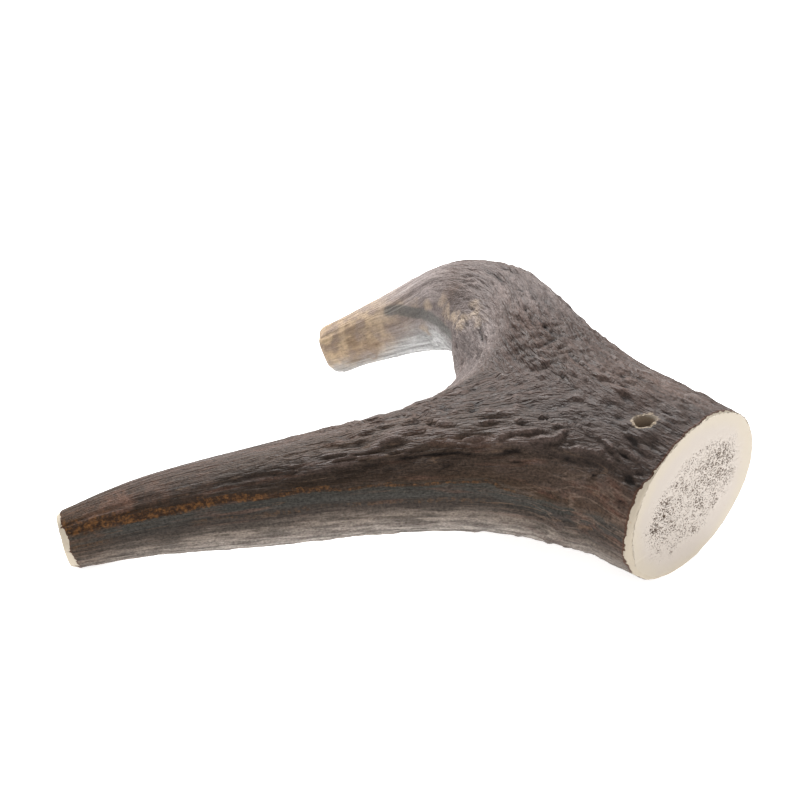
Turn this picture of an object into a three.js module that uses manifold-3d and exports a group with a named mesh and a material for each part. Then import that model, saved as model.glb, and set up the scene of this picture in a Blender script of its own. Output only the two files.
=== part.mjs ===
// A sawn length of deer antler that forks once, lying on three points: the lower rim of
// the sawn base, the tip of the long tine and the tip of the short tine.
// Millimetres, +Z up. The origin is under the middle of the antler, on the surface it lies on.

import * as THREE from 'three';
import { mergeVertices } from 'three/addons/utils/BufferGeometryUtils.js';
import Module from 'manifold-3d';

const wasm = await Module();
wasm.setup();

// ---- Driving dimensions -------------------------------------------------------------

// Each station is a cross-section of the antler: its centre, its width across the way
// that it grows, its thickness from top to bottom, and its roll in degrees, which lifts
// the side that faces away from the tines.
const BASE_SECTION = { x: 70.2, y: -41, z: 19.8, width: 50.2, thickness: 38, roll: 20 };

const BEHIND_THE_SAW_CUT = { ...BASE_SECTION, x: 76.2, y: -46.8, z: 20.2 };

const LONG_TINE_STATIONS = [
  BEHIND_THE_SAW_CUT,
  BASE_SECTION,
  { x: 55.6, y: -30, z: 20.8, width: 51, thickness: 35.6, roll: 16 },
  { x: 36.6, y: -25.2, z: 20.7, width: 49, thickness: 33, roll: 12 },
  { x: 13.6, y: -28, z: 20.9, width: 38, thickness: 30, roll: 8 },
  { x: -11.4, y: -31.8, z: 18.9, width: 30.2, thickness: 27.4, roll: 5 },
  { x: -36.4, y: -35.6, z: 16.1, width: 26.2, thickness: 24.2, roll: 0 },
  { x: -61.4, y: -38.8, z: 13.1, width: 21.4, thickness: 19.6, roll: 0 },
  { x: -83.4, y: -41.7, z: 7.5, width: 14.8, thickness: 14.8, roll: 0 },
  { x: -89.4, y: -42.7, z: 5.9, width: 13.4, thickness: 13.4, roll: 0 },
];

const SHORT_TINE_STATIONS = [
  BEHIND_THE_SAW_CUT,
  BASE_SECTION,
  { x: 55.6, y: -27.5, z: 21.7, width: 50, thickness: 36, roll: 17 },
  { x: 43.6, y: -10.6, z: 23.1, width: 45.4, thickness: 33.6, roll: 14 },
  { x: 33.3, y: 9, z: 25.2, width: 40.2, thickness: 31.6, roll: 10 },
  { x: 25.4, y: 31.4, z: 28.1, width: 31, thickness: 28, roll: 5 },
  { x: 12.6, y: 45, z: 23.9, width: 25.4, thickness: 24.2, roll: 0 },
  { x: -3.4, y: 48.6, z: 16, width: 18, thickness: 17.4, roll: 0 },
  { x: -19.4, y: 51, z: 7.2, width: 14.6, thickness: 14.2, roll: 0 },
  { x: -24.4, y: 51.6, z: 4.8, width: 14, thickness: 13.6, roll: 0 },
];

// The web of bone that rounds out the crotch between the two tines.
const CROTCH_STATIONS = [
  { x: 13.6, y: 42, z: 24, width: 14, thickness: 17, roll: 0 },
  { x: 18.6, y: 35, z: 26, width: 20, thickness: 22, roll: 0 },
  { x: 24.1, y: 24, z: 26.4, width: 24, thickness: 26, roll: 0 },
  { x: 26.6, y: 10, z: 24.3, width: 25, thickness: 28, roll: 0 },
  { x: 22.6, y: -6, z: 23.1, width: 25, thickness: 28, roll: 0 },
  { x: 12.6, y: -18.5, z: 21.7, width: 22, thickness: 25, roll: 0 },
  { x: -1.4, y: -28, z: 20.1, width: 17, thickness: 20, roll: 0 },
];

const SECTION_SIDES = 28;
const BEAM_STEPS = 40;
const CROTCH_STEPS = 20;

// Saw cuts: a point on the cut, the way it faces, the size of the cut end, its roll, and
// the bevel that was sanded round its rim.
const BASE_CUT = {
  centre: new THREE.Vector3(BASE_SECTION.x, BASE_SECTION.y, BASE_SECTION.z),
  facing: new THREE.Vector3(0.715, -0.695, 0.07),
  width: BASE_SECTION.width,
  thickness: BASE_SECTION.thickness,
  roll: BASE_SECTION.roll,
  bevel: 1.2,
};
const LONG_TIP_CUT = {
  centre: new THREE.Vector3(-84.6, -41.9, 7),
  facing: new THREE.Vector3(-0.96, -0.2, -0.2),
  width: 14.3,
  thickness: 14.4,
  roll: 0,
  bevel: 1.2,
};
const SHORT_TIP_CUT = {
  centre: new THREE.Vector3(-21.6, 51.2, 6.2),
  facing: new THREE.Vector3(-0.88, 0.06, -0.44),
  width: 14.4,
  thickness: 14.3,
  roll: 0,
  bevel: 1.4,
};

// A drilled hole runs straight down through the beam, behind the sawn base.
const HOLE = { x: 58, y: -35.4, diameter: 6, length: 80, sides: 32 };

// The antler is taken apart at its fork, with a narrow gap at each parting.
const PARTING_GAP = 0.3;
const LONG_TINE_PARTING = {
  point: new THREE.Vector3(7.6, -29, 20.1),
  towardsTine: new THREE.Vector3(-0.98, -0.2, -0.05),
};
const SHORT_TINE_PARTING = {
  point: new THREE.Vector3(28.6, 20, 25.1),
  towardsTine: new THREE.Vector3(-0.3, 0.95, 0.05),
};

// ---- Solids ---------------------------------------------------------------------------

const UP = new THREE.Vector3(0, 0, 1);

function solidFrom(geometry) {
  const bare = geometry.clone();
  bare.deleteAttribute('normal');
  bare.deleteAttribute('uv');
  const merged = mergeVertices(bare, 1e-4);
  const mesh = new wasm.Mesh({
    numProp: 3,
    vertProperties: new Float32Array(merged.attributes.position.array),
    triVerts: new Uint32Array(merged.index.array),
  });
  return new wasm.Manifold(mesh);
}

function geometryFrom(solid) {
  const mesh = solid.getMesh();
  const geometry = new THREE.BufferGeometry();
  geometry.setAttribute('position', new THREE.BufferAttribute(mesh.vertProperties, 3));
  geometry.setIndex(new THREE.BufferAttribute(mesh.triVerts, 1));
  geometry.computeVertexNormals();
  return geometry;
}

// The width and thickness directions of a section that looks along `forward`.
function sectionAxes(forward, rollDegrees) {
  const across = new THREE.Vector3().crossVectors(forward, UP).normalize();
  const over = new THREE.Vector3().crossVectors(across, forward).normalize();
  const roll = THREE.MathUtils.degToRad(rollDegrees);
  return {
    width: across.clone().multiplyScalar(Math.cos(roll)).addScaledVector(over, Math.sin(roll)),
    thickness: over.clone().multiplyScalar(Math.cos(roll)).addScaledVector(across, -Math.sin(roll)),
  };
}

// A closed cylinder bent along the stations' centres, with each ring an ellipse.
function sweep(stations, steps) {
  const centres = stations.map((s) => new THREE.Vector3(s.x, s.y, s.z));
  const sizes = stations.map((s) => new THREE.Vector3(s.width, s.thickness, s.roll));
  const path = new THREE.CatmullRomCurve3(centres, false, 'centripetal');
  const sizePath = new THREE.CatmullRomCurve3(sizes, false, 'catmullrom', 0.5);
  const geometry = new THREE.CylinderGeometry(1, 1, 1, SECTION_SIDES, steps);
  const position = geometry.attributes.position;
  for (let i = 0; i < position.count; i += 1) {
    const along = THREE.MathUtils.clamp(0.5 + position.getY(i), 0, 1);
    const size = sizePath.getPoint(along);
    const axes = sectionAxes(path.getTangent(along), size.z);
    const point = path.getPoint(along);
    point.addScaledVector(axes.width, (position.getX(i) * size.x) / 2);
    point.addScaledVector(axes.thickness, (position.getZ(i) * size.y) / 2);
    position.setXYZ(i, point.x, point.y, point.z);
  }
  return solidFrom(geometry);
}

// What the saw and the sander take off at one end: a block beyond the cut, and the ring
// outside a cone that narrows to the bevelled rim.
function sawnOff(cut) {
  const reach = cut.width * 1.3;
  const block = new THREE.BoxGeometry(reach, reach, reach);
  block.translate(0, 0, reach / 2 - cut.bevel);
  const cone = new THREE.CylinderGeometry(0.5, 0.5, cut.bevel * 3, SECTION_SIDES * 2);
  cone.rotateX(Math.PI / 2);
  const position = cone.attributes.position;
  for (let i = 0; i < position.count; i += 1) {
    const inward = position.getZ(i) + cut.bevel * 1.5;
    const width = cut.width - 2 * (inward - cut.bevel * 2);
    const thickness = cut.thickness - 2 * (inward - cut.bevel * 2);
    position.setXYZ(
      i,
      position.getX(i) * width,
      position.getY(i) * thickness,
      position.getZ(i) - cut.bevel * 1.5,
    );
  }
  const axes = sectionAxes(cut.facing.clone().normalize().negate(), cut.roll);
  const outward = cut.facing.clone().normalize();
  const placed = new THREE.Matrix4().makeBasis(
    axes.width,
    new THREE.Vector3().crossVectors(outward, axes.width),
    outward,
  );
  placed.setPosition(cut.centre);
  block.applyMatrix4(placed);
  cone.applyMatrix4(placed);
  return solidFrom(block).subtract(solidFrom(cone));
}

function drilledHole() {
  const drill = new THREE.CylinderGeometry(HOLE.diameter / 2, HOLE.diameter / 2, HOLE.length, HOLE.sides);
  drill.rotateX(Math.PI / 2);
  drill.translate(HOLE.x, HOLE.y, HOLE.length / 4);
  return solidFrom(drill);
}

// A block that holds all of the antler on one side of a parting, moved back by `gap`.
function sideOf(parting, sign, gap) {
  const reach = 300;
  const block = new THREE.BoxGeometry(reach, reach, reach);
  block.translate(0, 0, reach / 2 + gap / 2);
  const direction = parting.towardsTine.clone().normalize().multiplyScalar(sign);
  block.applyQuaternion(new THREE.Quaternion().setFromUnitVectors(UP, direction));
  block.translate(parting.point.x, parting.point.y, parting.point.z);
  return solidFrom(block);
}

// ---- The whole antler, then its three branches -------------------------------------------

const antler = sweep(LONG_TINE_STATIONS, BEAM_STEPS)
  .add(sweep(SHORT_TINE_STATIONS, BEAM_STEPS))
  .add(sweep(CROTCH_STATIONS, CROTCH_STEPS))
  .subtract(sawnOff(BASE_CUT))
  .subtract(sawnOff(LONG_TIP_CUT))
  .subtract(sawnOff(SHORT_TIP_CUT))
  .subtract(drilledHole());

const shortTine = antler.intersect(sideOf(SHORT_TINE_PARTING, 1, PARTING_GAP));
const beamAndLongTine = antler.intersect(sideOf(SHORT_TINE_PARTING, -1, PARTING_GAP));
const longTine = beamAndLongTine.intersect(sideOf(LONG_TINE_PARTING, 1, PARTING_GAP));
const beam = beamAndLongTine.intersect(sideOf(LONG_TINE_PARTING, -1, PARTING_GAP));

function branch(name, solid, colour) {
  const material = new THREE.MeshStandardMaterial({ color: colour, roughness: 0.6, metalness: 0 });
  const mesh = new THREE.Mesh(geometryFrom(solid), material);
  mesh.name = name;
  return mesh;
}

const group = new THREE.Group();
group.add(branch('beam', beam, 0x5e4f45));
group.add(branch('long_tine', longTine, 0x67533f));
group.add(branch('short_tine', shortTine, 0x8c7a68));

export default group;
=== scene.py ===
import math
import bmesh
import bpy
import numpy as np
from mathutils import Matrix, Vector, noise


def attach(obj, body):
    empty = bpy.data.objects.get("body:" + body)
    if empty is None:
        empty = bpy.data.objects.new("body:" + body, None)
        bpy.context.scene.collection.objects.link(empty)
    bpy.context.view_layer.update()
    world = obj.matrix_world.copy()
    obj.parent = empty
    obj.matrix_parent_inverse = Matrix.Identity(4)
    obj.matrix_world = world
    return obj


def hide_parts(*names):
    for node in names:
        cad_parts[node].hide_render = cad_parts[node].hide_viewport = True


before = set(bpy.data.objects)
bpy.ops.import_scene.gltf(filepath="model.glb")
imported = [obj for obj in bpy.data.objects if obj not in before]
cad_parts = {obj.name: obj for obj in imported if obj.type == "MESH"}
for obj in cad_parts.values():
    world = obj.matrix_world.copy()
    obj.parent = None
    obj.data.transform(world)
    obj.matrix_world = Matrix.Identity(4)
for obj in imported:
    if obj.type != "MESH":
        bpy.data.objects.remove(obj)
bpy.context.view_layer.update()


# ---- The antler: growth ----------------------------------------------------------------------
# One piece of deer antler, grown in one go and never joined. A flattened beam rises from the
# sawn base and forks once, into a long, nearly straight tine and a short tine that bends over.

MM = 0.001

# centre x, y, z, then width, thickness and roll in degrees, in millimetres along the growth
BASE_SECTION = (70.2, -41, 19.8, 50.2, 38, 20)
BEHIND_THE_SAW_CUT = (76.2, -46.8, 20.2, 50.2, 38, 20)
LONG_TINE_STATIONS = [
    BEHIND_THE_SAW_CUT,
    BASE_SECTION,
    (55.6, -30, 20.8, 51, 35.6, 16),
    (36.6, -25.2, 20.7, 49, 33, 12),
    (13.6, -28, 20.9, 38, 30, 8),
    (-11.4, -31.8, 18.9, 30.2, 27.4, 5),
    (-36.4, -35.6, 16.1, 26.2, 24.2, 0),
    (-61.4, -38.8, 13.1, 21.4, 19.6, 0),
    (-83.4, -41.7, 7.5, 14.8, 14.8, 0),
    (-89.4, -42.7, 5.9, 13.4, 13.4, 0),
]
SHORT_TINE_STATIONS = [
    BEHIND_THE_SAW_CUT,
    BASE_SECTION,
    (55.6, -27.5, 21.7, 50, 36, 17),
    (43.6, -10.6, 23.1, 45.4, 33.6, 14),
    (33.3, 9, 25.2, 40.2, 31.6, 10),
    (25.4, 31.4, 28.1, 31, 28, 5),
    (12.6, 45, 23.9, 25.4, 24.2, 0),
    (-3.4, 48.6, 16, 18, 17.4, 0),
    (-19.4, 51, 7.3, 14.6, 14.2, 0),
    (-24.4, 51.6, 4.8, 14, 13.6, 0),
]

# a point on each saw cut, and the way that the cut faces
BASE_CUT = (Vector(BASE_SECTION[:3]), Vector((0.715, -0.695, 0.07)).normalized())
LONG_TIP_CUT = (Vector((-84.6, -41.9, 7)), Vector((-0.96, -0.2, -0.2)).normalized())
SHORT_TIP_CUT = (Vector((-21.6, 51.2, 6.3)), Vector((-0.88, 0.06, -0.44)).normalized())

# where the cuts fall, counted in stations
BASE_STATION = 1.0
LONG_TIP_STATION = 8.2
SHORT_TIP_STATION = 8.5

# the stations, in fractions, that the rings of the growing mesh are set at
BEAM_RINGS = [1.13, 1.65, 2.2, 2.75, 3.3, 3.8]
LONG_TINE_RINGS = [4.45, 5.1, 5.75, 6.4, 7.1, 7.87]
SHORT_TINE_RINGS = [4.45, 5.0, 5.5, 6.05, 6.75, 7.5, 8.0]
BEAM_SIDES = 16
HALF_ROUND = BEAM_SIDES // 2
CROTCH_SIDES = 3
# degrees of a tine's section on the side away from the crotch, and where they begin
AWAY_FROM_THE_CROTCH = 240
SHORT_TINE_BEGINS = -120
LONG_TINE_BEGINS = 60
# the ridge of the crotch, from the top of the fork round to its bottom
CROTCH = [(18.5, -2.5, 33.6), (11.4, 5.4, 23), (19, -2.5, 12.5)]
SPREAD_AT_THE_FORK = 30
SMOOTHING_LEVELS = 4
LETTING_OUT_ROUNDS = 4


class Growth:
    """A smooth curve through stations, that gives the cross-section anywhere along it."""

    def __init__(self, stations):
        self.values = np.array(stations, float)
        gaps = np.linalg.norm(np.diff(self.values[:, :3], axis=0), axis=1)
        self.lengths = np.concatenate([[0], np.cumsum(gaps)])

    def slope(self, i):
        before = max(i - 1, 0)
        after = min(i + 1, len(self.values) - 1)
        return (self.values[after] - self.values[before]) / (self.lengths[after] - self.lengths[before])

    def at(self, station):
        i = min(int(station), len(self.values) - 2)
        u = station - i
        step = self.lengths[i + 1] - self.lengths[i]
        start, end = self.values[i], self.values[i + 1]
        leave, arrive = step * self.slope(i), step * self.slope(i + 1)
        value = (2 * u**3 - 3 * u**2 + 1) * start + (u**3 - 2 * u**2 + u) * leave
        value += (3 * u**2 - 2 * u**3) * end + (u**3 - u**2) * arrive
        forward = (6 * u**2 - 6 * u) * (start - end) + (3 * u**2 - 4 * u + 1) * leave
        forward += (3 * u**2 - 2 * u) * arrive
        return value, Vector(forward[:3]).normalized()

    def section(self, station, cut=None):
        """The centre, and the vectors of half the width and half the thickness."""
        value, forward = self.at(station)
        centre = Vector(value[:3])
        if cut:
            centre, facing = cut
            forward = facing if facing.dot(forward) > 0 else -facing
        across = forward.cross(Vector((0, 0, 1))).normalized()
        over = across.cross(forward).normalized()
        roll = math.radians(value[5])
        wide = across * math.cos(roll) + over * math.sin(roll)
        thick = over * math.cos(roll) - across * math.sin(roll)
        return centre, wide * value[3] / 2, thick * value[4] / 2


long_growth = Growth(LONG_TINE_STATIONS)
short_growth = Growth(SHORT_TINE_STATIONS)


def on_section(section, degrees):
    centre, wide, thick = section
    angle = math.radians(degrees)
    return centre + wide * math.cos(angle) + thick * math.sin(angle)


def beam_ring(station, cut=None):
    """One half of the ring follows each tine's growth; they part along its top and bottom."""
    fork = max(0.0, (station - BEAM_RINGS[0]) / (BEAM_RINGS[-1] - BEAM_RINGS[0]))
    spread = SPREAD_AT_THE_FORK * fork**2
    turn = (180 + 2 * spread) / HALF_ROUND
    outer = short_growth.section(station, cut)
    inner = long_growth.section(station, cut)
    outer_side = [on_section(outer, -90 - spread + turn * k) for k in range(HALF_ROUND + 1)]
    inner_side = [on_section(inner, 90 - spread + turn * k) for k in range(HALF_ROUND + 1)]
    top = (outer_side[-1] + inner_side[0]) / 2
    bottom = (outer_side[0] + inner_side[-1]) / 2
    return [bottom] + outer_side[1:-1] + [top] + inner_side[1:-1]


def tine_ring(section, first_angle):
    """The side away from the crotch comes first, then the crotch side."""
    away = [first_angle + AWAY_FROM_THE_CROTCH / HALF_ROUND * k for k in range(HALF_ROUND + 1)]
    turn = (360 - AWAY_FROM_THE_CROTCH) / (CROTCH_SIDES + 1)
    crotch_side = [first_angle + AWAY_FROM_THE_CROTCH + turn * (k + 1) for k in range(CROTCH_SIDES)]
    return [on_section(section, degrees) for degrees in away + crotch_side]


def grow(growing, ring, places):
    """Extrudes a closed ring of vertices, and sets the new ring at its places."""
    edges = [growing.edges.get(pair) for pair in zip(ring, ring[1:] + ring[:1])]
    made = set(bmesh.ops.extrude_edge_only(growing, edges=edges)["geom"])
    new_ring = []
    for vertex, place in zip(ring, places):
        partner = next(e.other_vert(vertex) for e in vertex.link_edges if e.other_vert(vertex) in made)
        partner.co = place
        new_ring.append(partner)
    return new_ring


growing = bmesh.new()
ring = list(bmesh.ops.create_circle(growing, segments=BEAM_SIDES, radius=1)["verts"])
for vertex, place in zip(ring, beam_ring(BASE_STATION, BASE_CUT)):
    vertex.co = place
for station in BEAM_RINGS:
    ring = grow(growing, ring, beam_ring(station))

bottom, top = ring[0], ring[HALF_ROUND]
crotch = []
for place in CROTCH:
    last = crotch[-1] if crotch else top
    made = bmesh.ops.extrude_vert_indiv(growing, verts=[last])["verts"][0]
    made.co = place
    crotch.append(made)
bmesh.ops.contextual_create(growing, geom=[crotch[-1], bottom])

tine = ring[: HALF_ROUND + 1] + crotch
for station in SHORT_TINE_RINGS:
    tine = grow(growing, tine, tine_ring(short_growth.section(station), SHORT_TINE_BEGINS))
short_tip = short_growth.section(SHORT_TIP_STATION, SHORT_TIP_CUT)
grow(growing, tine, tine_ring(short_tip, SHORT_TINE_BEGINS))

tine = ring[HALF_ROUND:] + [bottom] + crotch[::-1]
for station in LONG_TINE_RINGS:
    tine = grow(growing, tine, tine_ring(long_growth.section(station), LONG_TINE_BEGINS))
long_tip = long_growth.section(LONG_TIP_STATION, LONG_TIP_CUT)
grow(growing, tine, tine_ring(long_tip, LONG_TINE_BEGINS))

bmesh.ops.recalc_face_normals(growing, faces=growing.faces)
mesh = bpy.data.meshes.new("antler")
growing.to_mesh(mesh)
growing.free()
antler = bpy.data.objects.new("antler", mesh)
bpy.context.scene.collection.objects.link(antler)
smoothing = antler.modifiers.new("growth", "SUBSURF")
smoothing.boundary_smooth = "ALL"


def grown(level):
    """The smoothed mesh, of which the first vertices are those of the growing mesh."""
    smoothing.levels = level
    smoothing.render_levels = level
    depsgraph = bpy.context.evaluated_depsgraph_get()
    depsgraph.update()
    return bpy.data.meshes.new_from_object(antler.evaluated_get(depsgraph))


def places_in(some_mesh):
    places = np.empty(len(some_mesh.vertices) * 3)
    some_mesh.vertices.foreach_get("co", places)
    return places.reshape(-1, 3)


# smoothing draws a ring in, so the rings are let out until the smooth surface meets the sections
section_places = places_in(mesh)
for _ in range(LETTING_OUT_ROUNDS):
    smooth = grown(1)
    drawn_in = section_places - places_in(smooth)[: len(mesh.vertices)]
    mesh.vertices.foreach_set("co", (places_in(mesh) + drawn_in).ravel())
    mesh.update()
    bpy.data.meshes.remove(smooth)
bark = grown(SMOOTHING_LEVELS)
antler.modifiers.remove(smoothing)
antler.data = bark
bpy.data.meshes.remove(mesh)


# ---- The antler: bark ------------------------------------------------------------------------
# The skin of the living antler left the bark grooved by its veins, in wavy ridges and pits
# that run with the growth. It is rough at the base and the fork and worn smooth on the tines.

# round the section, a place's grain is measured as if the antler were this thick everywhere
GRAIN_RADIUS = 20
ALONG_SAMPLES = 260
NEAREST_AT_A_TIME = 5000
CROTCH_CENTRE = (2, 10)

# the bark is rough above this line along the front, and smoother below it
ROUGH_ABOVE_X = [-90, -45, -18, -6, 6, 20, 37, 70]
ROUGH_ABOVE_Z = [24, 27, 28.2, 31, 33, 33.6, 33, 33.5]
ROUGH_LINE_WAVE = 0.9
LEAST_RUGGED = 0.16

# heights and depths of the relief, in millimetres
SHELF_HEIGHT = 1.55
SHELF_RISE = 0.72
SHELVES_AROUND = 35
CROTCH_WRINKLE_SPACING = 1.7
RIDGE_HEIGHT = 0.12
PIT_DEPTH = 0.7
KNOB_HEIGHT = 0.7
POCK_DEPTH = 0.3
SWELL_HEIGHT = 0.35
WORN_RIDGE_HEIGHT = 0.16
FRONT_RIDGE_HEIGHT = 0.45
UNDER_RIDGE_HEIGHT = 0.36
LONG_RIDGE_HEIGHT = 0.45
LONG_FURROW_DEPTH = 0.3
SUNK_BELOW_THE_SECTIONS = 0.2

# the drilled hole, and how the bark levels off round it
HOLE_X, HOLE_Y = 58, -35.4
LEVELLED_REACH = 5
LEVELLED_SLOPE = 0.5
TOP_ABOVE_Z = 25


def smoothstep(low, high, values):
    u = np.clip((values - low) / (high - low), 0, 1)
    return u * u * (3 - 2 * u)


def noise_at(places, seed=0.0):
    """Perlin noise, about -1 to 1, at every row of places."""
    return np.array([noise.noise(Vector(place)) for place in places + seed])


def grain_of(growth, places):
    """How far along the growth each place is, and where it is across it, in millimetres."""
    stations = np.linspace(0.6, len(growth.values) - 1, ALONG_SAMPLES)
    sections = [growth.section(station) for station in stations]
    centres = np.array([section[0] for section in sections])
    wide = np.array([section[1] for section in sections])
    thick = np.array([section[2] for section in sections])
    lengths = np.concatenate([[0], np.cumsum(np.linalg.norm(np.diff(centres, axis=0), axis=1))])
    near = np.empty(len(places), int)
    for start in range(0, len(places), NEAREST_AT_A_TIME):
        some = slice(start, start + NEAREST_AT_A_TIME)
        away = places[some, None, :] - centres[None]
        near[some] = np.argmin((away**2).sum(axis=2), axis=1)
    offset = places - centres[near]
    forward = np.cross(wide, thick)
    forward /= -np.linalg.norm(forward, axis=1)[:, None]
    along = lengths[near] + (offset * forward[near]).sum(axis=1)
    across = (offset * wide[near]).sum(axis=1) / (wide[near] ** 2).sum(axis=1)
    over = (offset * thick[near]).sum(axis=1) / (thick[near] ** 2).sum(axis=1)
    return np.stack([along, across * GRAIN_RADIUS, over * GRAIN_RADIUS], axis=1)


places = places_in(bark)
normals = np.empty(len(bark.vertices) * 3)
bark.vertices.foreach_get("normal", normals)
normals = normals.reshape(-1, 3)
x, y, z = places.T

grain_long = grain_of(long_growth, places)
grain_short = grain_of(short_growth, places)
from_crotch = places[:, :2] - CROTCH_CENTRE
crotch_reach = np.linalg.norm(from_crotch, axis=1)
crotch_turn = np.arctan2(from_crotch[:, 1], from_crotch[:, 0])
grain_crotch = np.stack([crotch_turn * GRAIN_RADIUS, crotch_reach, z], axis=1)
reach_long = np.linalg.norm(grain_long[:, 1:], axis=1)
reach_short = np.linalg.norm(grain_short[:, 1:], axis=1)
to_short = smoothstep(-3.5, 3.5, reach_long - reach_short)
to_crotch = 1 - smoothstep(19, 28, crotch_reach)


def along_grain(stretch, width, seed):
    """Noise drawn out along the growth, whichever way the antler grows there."""
    scale = (1 / stretch, 1 / width, 1 / width)
    on_long = noise_at(grain_long * scale, seed)
    on_short = noise_at(grain_short * scale, seed)
    on_crotch = noise_at(grain_crotch * scale, seed)
    mixed = on_long * (1 - to_short) + on_short * to_short
    return mixed * (1 - to_crotch) + on_crotch * to_crotch


def creased(waves):
    """Turns noise into narrow crests, where it passes through nothing, and wide hollows."""
    return 0.8 - 2.6 * np.abs(waves)


# where the bark is rough, knobbly or worn: 0 to 1 at every place
rough_line = np.interp(x, ROUGH_ABOVE_X, ROUGH_ABOVE_Z)
rough_line += ROUGH_LINE_WAVE * noise_at(places / (7, 9, 90), 3)
above_the_line = smoothstep(-9, 1.5, z - rough_line + 9 * smoothstep(38, 62, x))
far_on_long_tine = 1 - smoothstep(-48, 8, x)
far_on_short_tine = (1 - smoothstep(4, 30, x)) * smoothstep(15, 25, y)
behind_the_middle = y + 30 + 0.05 * np.clip(x, -100, 10)
on_the_back = smoothstep(2, 14, behind_the_middle) * (1 - far_on_long_tine)
underneath = 1 - smoothstep(4, 13, z)
rugged = np.clip(np.maximum(above_the_line, on_the_back * 0.8), LEAST_RUGGED, 1)
rugged *= 1 - 0.88 * np.maximum(far_on_long_tine, far_on_short_tine)
rugged = np.clip(rugged + 0.2 * underneath, 0, 1)
fork_middle = np.exp(-(((places - (33, 4, 38)) / (17, 20, 25)) ** 2).sum(axis=1))
bend_back = smoothstep(15, 32, x) * smoothstep(8, 26, y)
outer_side = smoothstep(4, 13, grain_short[:, 1]) * to_short * (1 - far_on_short_tine)
knobbly = np.clip(fork_middle * 1.3 + bend_back * 0.7, 0, 1) * (1 - far_on_short_tine)
knobbly *= 1 - 0.8 * outer_side
front_by_the_base = smoothstep(12, 34, x) * (1 - above_the_line) * (1 - to_short)
under_long_tine = (1 - smoothstep(-6, 2, grain_long[:, 2])) * (1 - to_short)
off_the_cut = (places - np.array(BASE_CUT[0])) @ -np.array(BASE_CUT[1])
by_the_cut = smoothstep(0.5, 7, off_the_cut)


def shelves(grain, rows_around, seed):
    """Wavy shelves along the growth. Each rises slowly and then drops towards the front."""
    turn = np.arctan2(-grain[:, 1], grain[:, 2]) / (2 * math.pi)
    rows = rows_around * turn + 1.9 * noise_at(grain / (13, 5.5, 5.5), seed)
    rows += 0.5 * noise_at(grain / (6, 3, 3), seed + 7)
    part = rows - np.floor(rows)
    return np.where(part < SHELF_RISE, part / SHELF_RISE, (1 - part) / (1 - SHELF_RISE)) - 0.5


crotch_rows = crotch_reach / CROTCH_WRINKLE_SPACING + 1.2 * noise_at(grain_crotch / (9, 5, 5), 61)
crotch_wrinkles = 0.5 - 2 * np.abs(crotch_rows - np.floor(crotch_rows) - 0.5)
shelf = shelves(grain_long, SHELVES_AROUND, 11) * (1 - to_short)
shelf += shelves(grain_short, SHELVES_AROUND, 37) * to_short
shelf = shelf * (1 - to_crotch) + 0.5 * crotch_wrinkles * to_crotch
broken = 0.12 + 0.88 * smoothstep(-0.22, 0.2, along_grain(6.5, 2.8, 23))
drawn_out = 0.2 + 0.4 * smoothstep(-0.3, 0.2, along_grain(26, 3, 29))
broken = broken * (1 - outer_side) + drawn_out * outer_side
ridges = creased(along_grain(6, 1.6, 41))
pits = smoothstep(0.33, 0.6, along_grain(6.5, 1.5, 57))
swells = along_grain(30, 9, 71)
knobs = 0.6 - 2.6 * np.minimum(np.abs(noise_at(places / 2.3, 5)), 0.34)
knobs += 0.6 * noise_at(places / 1.1, 9)
pocks = smoothstep(0.26, 0.5, noise_at(places / 2.3, 17))

relief = SHELF_HEIGHT * shelf * broken * (1 - 0.6 * knobbly)
relief += RIDGE_HEIGHT * ridges * (1 - 0.5 * knobbly)
relief -= PIT_DEPTH * pits * (1 - 0.5 * knobbly)
relief += knobbly * (KNOB_HEIGHT * knobs - POCK_DEPTH * pocks)
relief *= rugged * (0.4 + 0.6 * by_the_cut)
relief += SWELL_HEIGHT * swells * (0.3 + 0.7 * rugged)
relief += WORN_RIDGE_HEIGHT * (1 - 3 * np.abs(along_grain(26, 2.6, 83))) * (1 - rugged)
relief += FRONT_RIDGE_HEIGHT * front_by_the_base * by_the_cut * creased(along_grain(17, 1.9, 91))
relief += UNDER_RIDGE_HEIGHT * under_long_tine * by_the_cut * creased(along_grain(12, 2.1, 97))

# one long ridge, with a furrow under it, parts the rough top from the smoother front
above = z - rough_line
long_ridge = np.where(above > 0, np.exp(-((above / 2.2) ** 2)), np.exp(-((above / 0.6) ** 2)))
front = (1 - smoothstep(-34, -30, y)) * smoothstep(-40, -8, x) * (1 - smoothstep(42, 58, x))
long_furrow = np.exp(-(((above + 1.5) / 0.9) ** 2))
relief += front * (LONG_RIDGE_HEIGHT * long_ridge - LONG_FURROW_DEPTH * long_furrow)
relief -= SUNK_BELOW_THE_SECTIONS

near_hole = np.exp(-((np.hypot(x - HOLE_X, y - HOLE_Y) / LEVELLED_REACH) ** 2))
levelled = np.where(z > TOP_ABOVE_Z, LEVELLED_SLOPE * (HOLE_Y - y) * near_hole, 0)
bark_places = places + normals * (relief + levelled)[:, None]


# ---- The antler: saw cuts --------------------------------------------------------------------
# Both tips and the base are sawn off square, and a sander took the sharp rim off each cut, so
# a band of pale bone shows between the flat cut and a jagged edge of bark.

UNSANDED = -9
SANDED_REACH = 6
TRIMMED_REACH = 5
ABOVE_THE_TABLE = 0.03


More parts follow.
